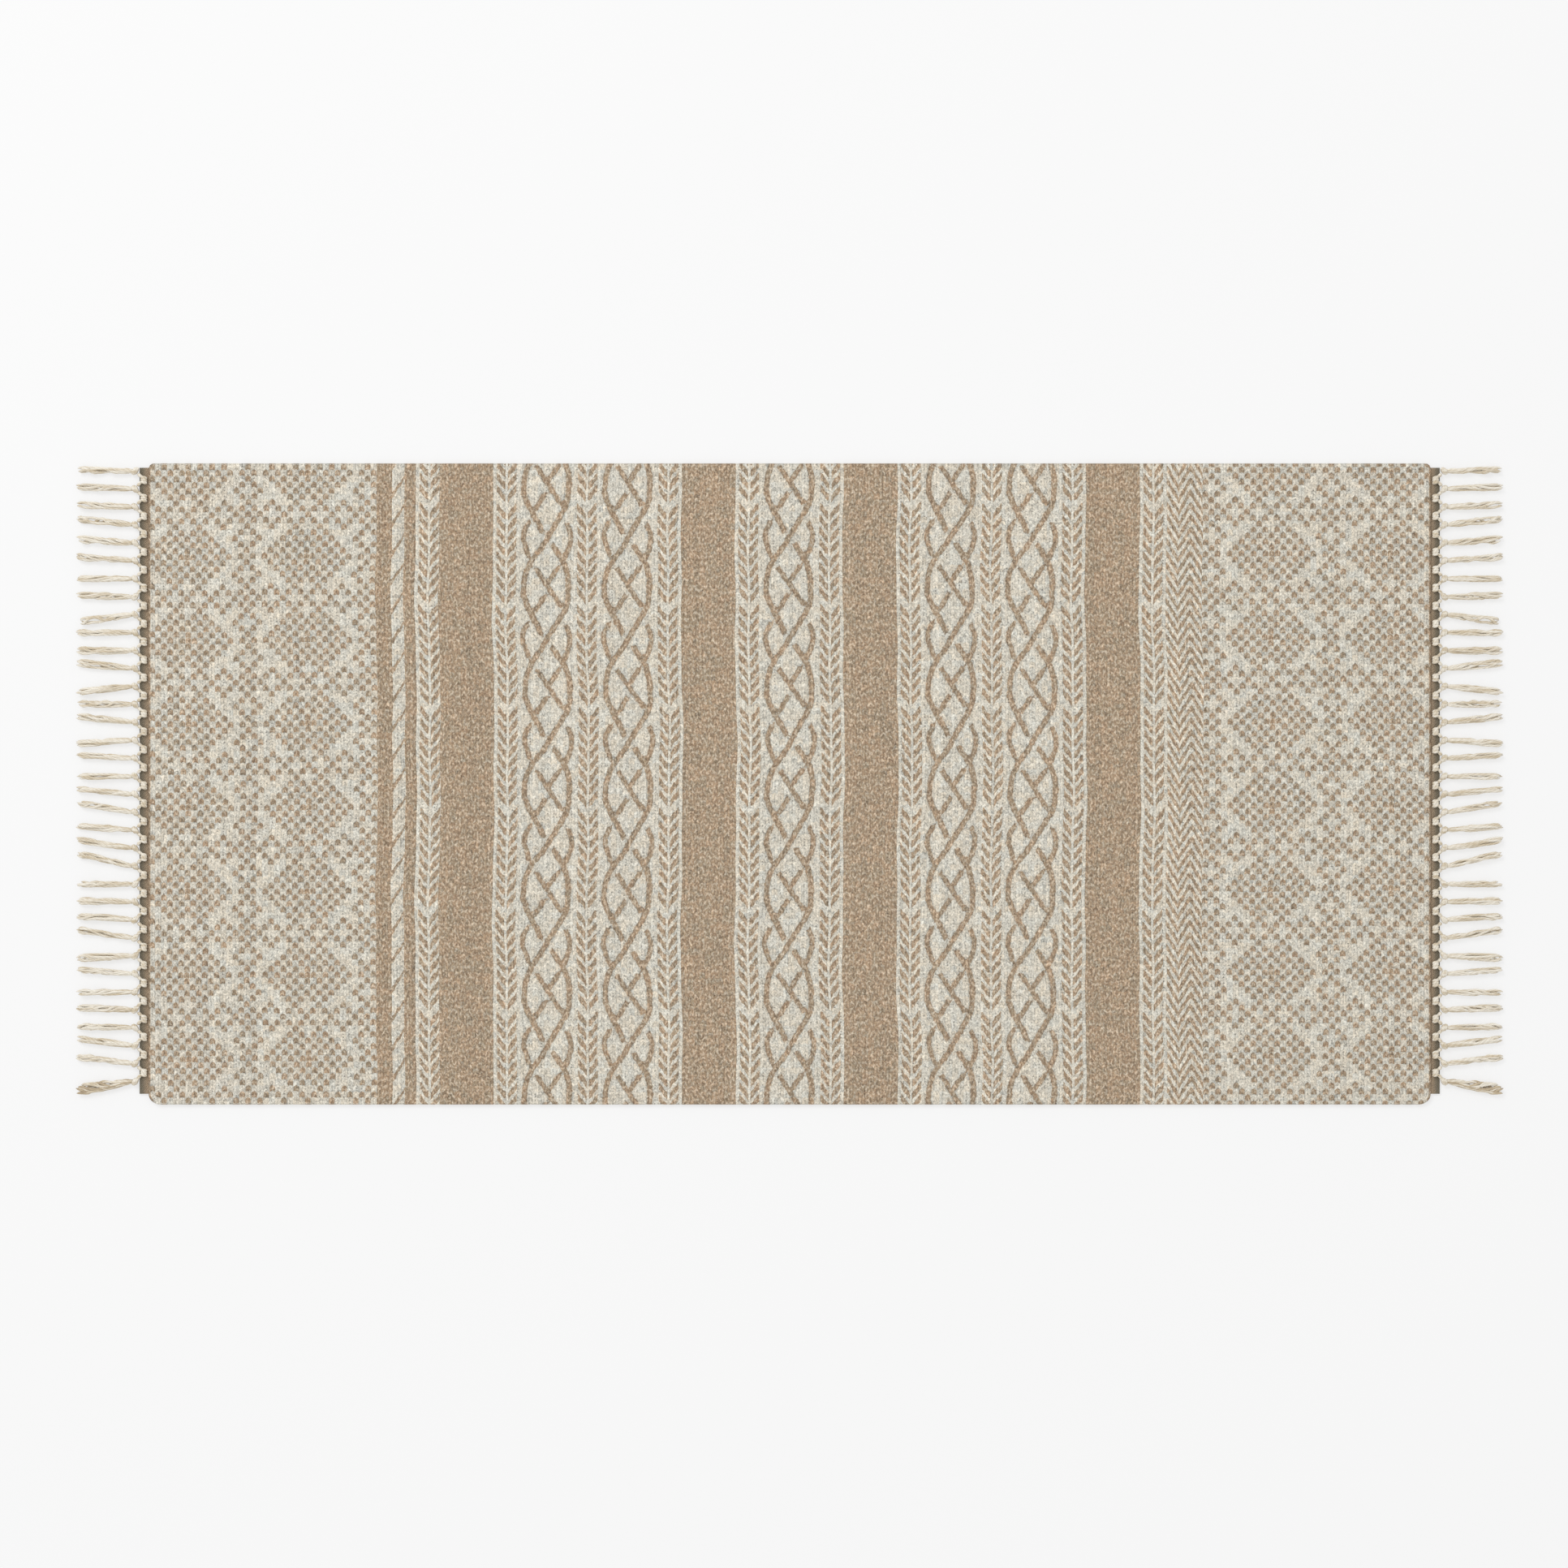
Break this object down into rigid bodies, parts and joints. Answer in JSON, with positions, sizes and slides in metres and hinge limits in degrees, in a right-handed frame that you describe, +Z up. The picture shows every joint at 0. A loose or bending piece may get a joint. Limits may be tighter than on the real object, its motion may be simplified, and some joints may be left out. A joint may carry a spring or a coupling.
{
  "type": "bath mat",
  "caption": "Rectangular jacquard-woven cotton bath mat with striped columns, lattice ends and a knotted tassel fringe at each short end.",
  "frame": {"origin": "on the floor under the middle of the mat", "axes": "+X along the mat towards its right end, +Y across it towards its back edge, +Z up out of the patterned face"},
  "size_m": [1.336, 0.6, 0.007],
  "materials": {
    "jacquard_cloth": "tan and off-white jacquard weave in slightly slubby cotton, matte",
    "heading_weave": "close plain weave in dark tan cotton, matte",
    "fringe_cotton": "undyed plied cotton yarn, loosely twisted, matte"
  },
  "bodies": {
    "mat": {"woven_panel": "jacquard_cloth", "left_heading": "heading_weave", "left_hitches": "fringe_cotton", "right_heading": "heading_weave", "right_hitches": "fringe_cotton"},
    "left_fringe_1": {"left_knots_1": "fringe_cotton", "left_tassels_1": "fringe_cotton"},
    "left_fringe_2": {"left_knots_2": "fringe_cotton", "left_tassels_2": "fringe_cotton"},
    "left_fringe_3": {"left_knots_3": "fringe_cotton", "left_tassels_3": "fringe_cotton"},
    "left_fringe_4": {"left_knots_4": "fringe_cotton", "left_tassels_4": "fringe_cotton"},
    "left_fringe_5": {"left_knots_5": "fringe_cotton", "left_tassels_5": "fringe_cotton"},
    "left_fringe_6": {"left_knots_6": "fringe_cotton", "left_tassels_6": "fringe_cotton"},
    "left_fringe_7": {"left_knots_7": "fringe_cotton", "left_tassels_7": "fringe_cotton"},
    "right_fringe_1": {"right_knots_1": "fringe_cotton", "right_tassels_1": "fringe_cotton"},
    "right_fringe_2": {"right_knots_2": "fringe_cotton", "right_tassels_2": "fringe_cotton"},
    "right_fringe_3": {"right_knots_3": "fringe_cotton", "right_tassels_3": "fringe_cotton"},
    "right_fringe_4": {"right_knots_4": "fringe_cotton", "right_tassels_4": "fringe_cotton"},
    "right_fringe_5": {"right_knots_5": "fringe_cotton", "right_tassels_5": "fringe_cotton"},
    "right_fringe_6": {"right_knots_6": "fringe_cotton", "right_tassels_6": "fringe_cotton"},
    "right_fringe_7": {"right_knots_7": "fringe_cotton", "right_tassels_7": "fringe_cotton"}
  },
  "joints": [
    {"name": "left_fringe_fold_1", "type": "hinge", "parent": "mat", "child": "left_fringe_1", "pos_m": [-0.6123, 0, 0.0035], "axis": [0, 1, 0], "range_deg": [-90, 150]},
    {"name": "left_fringe_fold_2", "type": "hinge", "parent": "mat", "child": "left_fringe_2", "pos_m": [-0.6123, 0, 0.0035], "axis": [0, 1, 0], "range_deg": [-90, 150]},
    {"name": "left_fringe_fold_3", "type": "hinge", "parent": "mat", "child": "left_fringe_3", "pos_m": [-0.6123, 0, 0.0035], "axis": [0, 1, 0], "range_deg": [-90, 150]},
    {"name": "left_fringe_fold_4", "type": "hinge", "parent": "mat", "child": "left_fringe_4", "pos_m": [-0.6123, 0, 0.0035], "axis": [0, 1, 0], "range_deg": [-90, 150]},
    {"name": "left_fringe_fold_5", "type": "hinge", "parent": "mat", "child": "left_fringe_5", "pos_m": [-0.6123, 0, 0.0035], "axis": [0, 1, 0], "range_deg": [-90, 150]},
    {"name": "left_fringe_fold_6", "type": "hinge", "parent": "mat", "child": "left_fringe_6", "pos_m": [-0.6123, 0, 0.0035], "axis": [0, 1, 0], "range_deg": [-90, 150]},
    {"name": "left_fringe_fold_7", "type": "hinge", "parent": "mat", "child": "left_fringe_7", "pos_m": [-0.6123, 0, 0.0035], "axis": [0, 1, 0], "range_deg": [-90, 150]},
    {"name": "right_fringe_fold_1", "type": "hinge", "parent": "mat", "child": "right_fringe_1", "pos_m": [0.6123, 0, 0.0035], "axis": [0, -1, 0], "range_deg": [-90, 150]},
    {"name": "right_fringe_fold_2", "type": "hinge", "parent": "mat", "child": "right_fringe_2", "pos_m": [0.6123, 0, 0.0035], "axis": [0, -1, 0], "range_deg": [-90, 150]},
    {"name": "right_fringe_fold_3", "type": "hinge", "parent": "mat", "child": "right_fringe_3", "pos_m": [0.6123, 0, 0.0035], "axis": [0, -1, 0], "range_deg": [-90, 150]},
    {"name": "right_fringe_fold_4", "type": "hinge", "parent": "mat", "child": "right_fringe_4", "pos_m": [0.6123, 0, 0.0035], "axis": [0, -1, 0], "range_deg": [-90, 150]},
    {"name": "right_fringe_fold_5", "type": "hinge", "parent": "mat", "child": "right_fringe_5", "pos_m": [0.6123, 0, 0.0035], "axis": [0, -1, 0], "range_deg": [-90, 150]},
    {"name": "right_fringe_fold_6", "type": "hinge", "parent": "mat", "child": "right_fringe_6", "pos_m": [0.6123, 0, 0.0035], "axis": [0, -1, 0], "range_deg": [-90, 150]},
    {"name": "right_fringe_fold_7", "type": "hinge", "parent": "mat", "child": "right_fringe_7", "pos_m": [0.6123, 0, 0.0035], "axis": [0, -1, 0], "range_deg": [-90, 150]}
  ]
}
